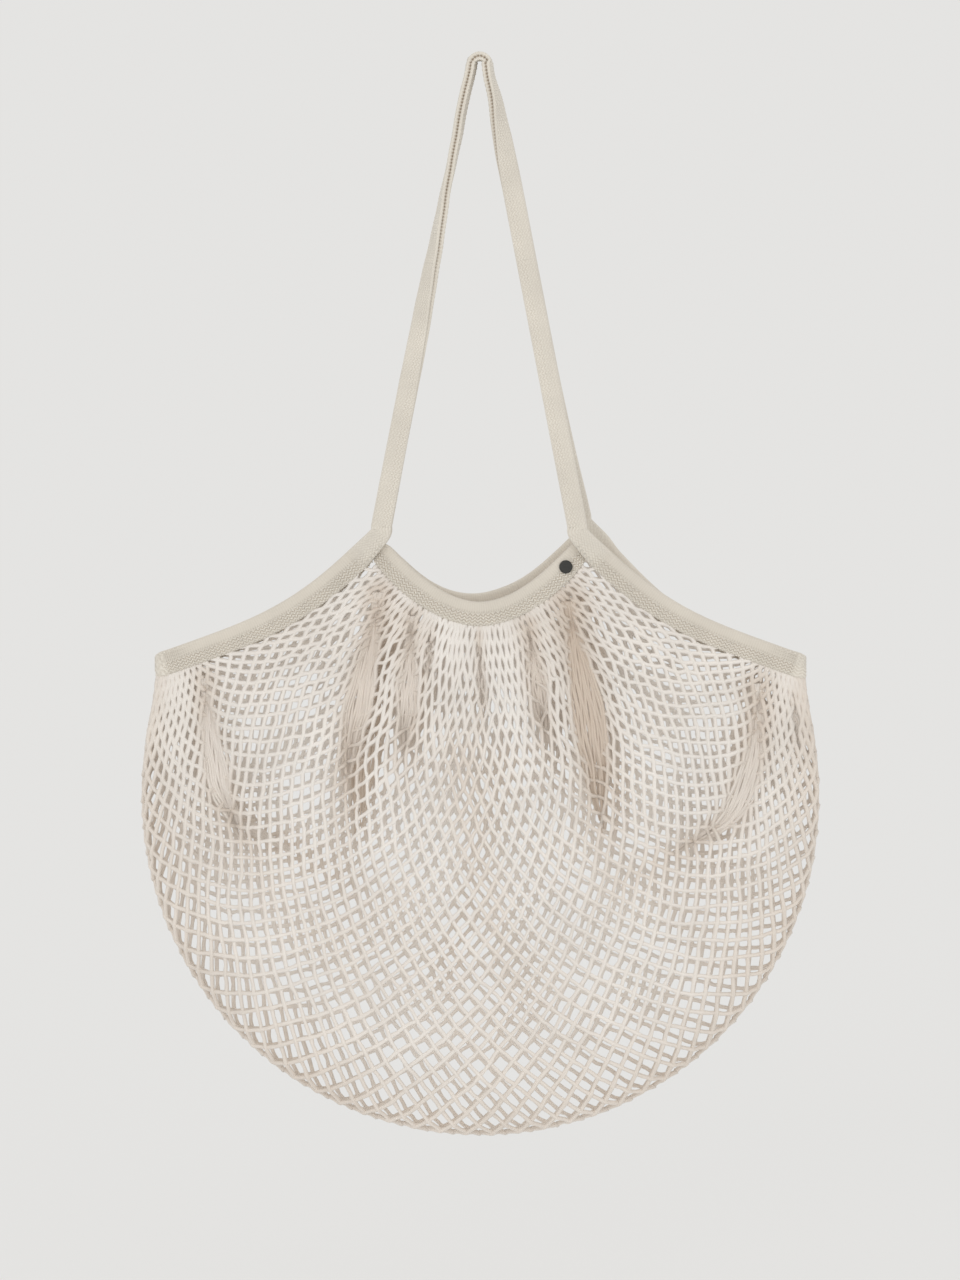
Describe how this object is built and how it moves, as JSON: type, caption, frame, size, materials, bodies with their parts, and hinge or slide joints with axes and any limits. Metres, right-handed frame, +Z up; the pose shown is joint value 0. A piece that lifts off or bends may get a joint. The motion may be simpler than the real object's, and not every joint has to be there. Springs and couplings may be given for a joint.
{
  "type": "net shoulder bag",
  "caption": "Soft cotton net market bag with knitted bindings round its mouth and two long shoulder straps, hung by the straps.",
  "frame": {"origin": "middle of the peg seat: the axis of the thin peg that both straps hang on, halfway between the front and the back strap", "axes": "+Z up, the longest way of the hanging bag; +X to the tip on the right as seen from the front; -Y to the front; the mouth opens upwards"},
  "size_m": [0.459, 0.0802, 0.7355],
  "materials": {
    "cotton_net": "soft matt knitted cotton yarn",
    "knit_tape": "matt rib-knit cotton tape, folded flat",
    "stitch_thread": "matt cotton thread",
    "stud_metal": "dark satin metal"
  },
  "bodies": {
    "bag": {"front_net": "cotton_net", "back_net": "cotton_net", "right_tip_fold": "knit_tape", "left_tip_fold": "knit_tape", "right_tip_tack": "stitch_thread", "left_tip_tack": "stitch_thread"},
    "front_rim": {"front_mouth_band": "knit_tape", "front_left_side_band": "knit_tape", "front_right_side_band": "knit_tape", "front_strap_feet": "knit_tape", "front_strap_stitches": "stitch_thread", "stud": "stud_metal", "stud_backing": "stud_metal"},
    "back_rim": {"back_mouth_band": "knit_tape", "back_left_side_band": "knit_tape", "back_right_side_band": "knit_tape", "back_strap_feet": "knit_tape", "back_strap_stitches": "stitch_thread"},
    "front_strap": {"front_strap": "knit_tape"},
    "back_strap": {"back_strap": "knit_tape"}
  },
  "joints": [
    {"name": "front_rim_opens", "type": "hinge", "parent": "bag", "child": "front_rim", "pos_m": [0, -0.0032, -0.417], "axis": [1, 0, 0], "range_deg": [0, 35]},
    {"name": "back_rim_opens", "type": "hinge", "parent": "bag", "child": "back_rim", "pos_m": [0, 0.0032, -0.417], "axis": [-1, 0, 0], "range_deg": [0, 35]},
    {"name": "front_strap_folds", "type": "hinge", "parent": "front_rim", "child": "front_strap", "pos_m": [0, -0.02498, -0.321], "axis": [1, 0, 0], "range_deg": [0, 130]},
    {"name": "back_strap_folds", "type": "hinge", "parent": "back_rim", "child": "back_strap", "pos_m": [0, 0.02498, -0.321], "axis": [-1, 0, 0], "range_deg": [0, 130]}
  ]
}
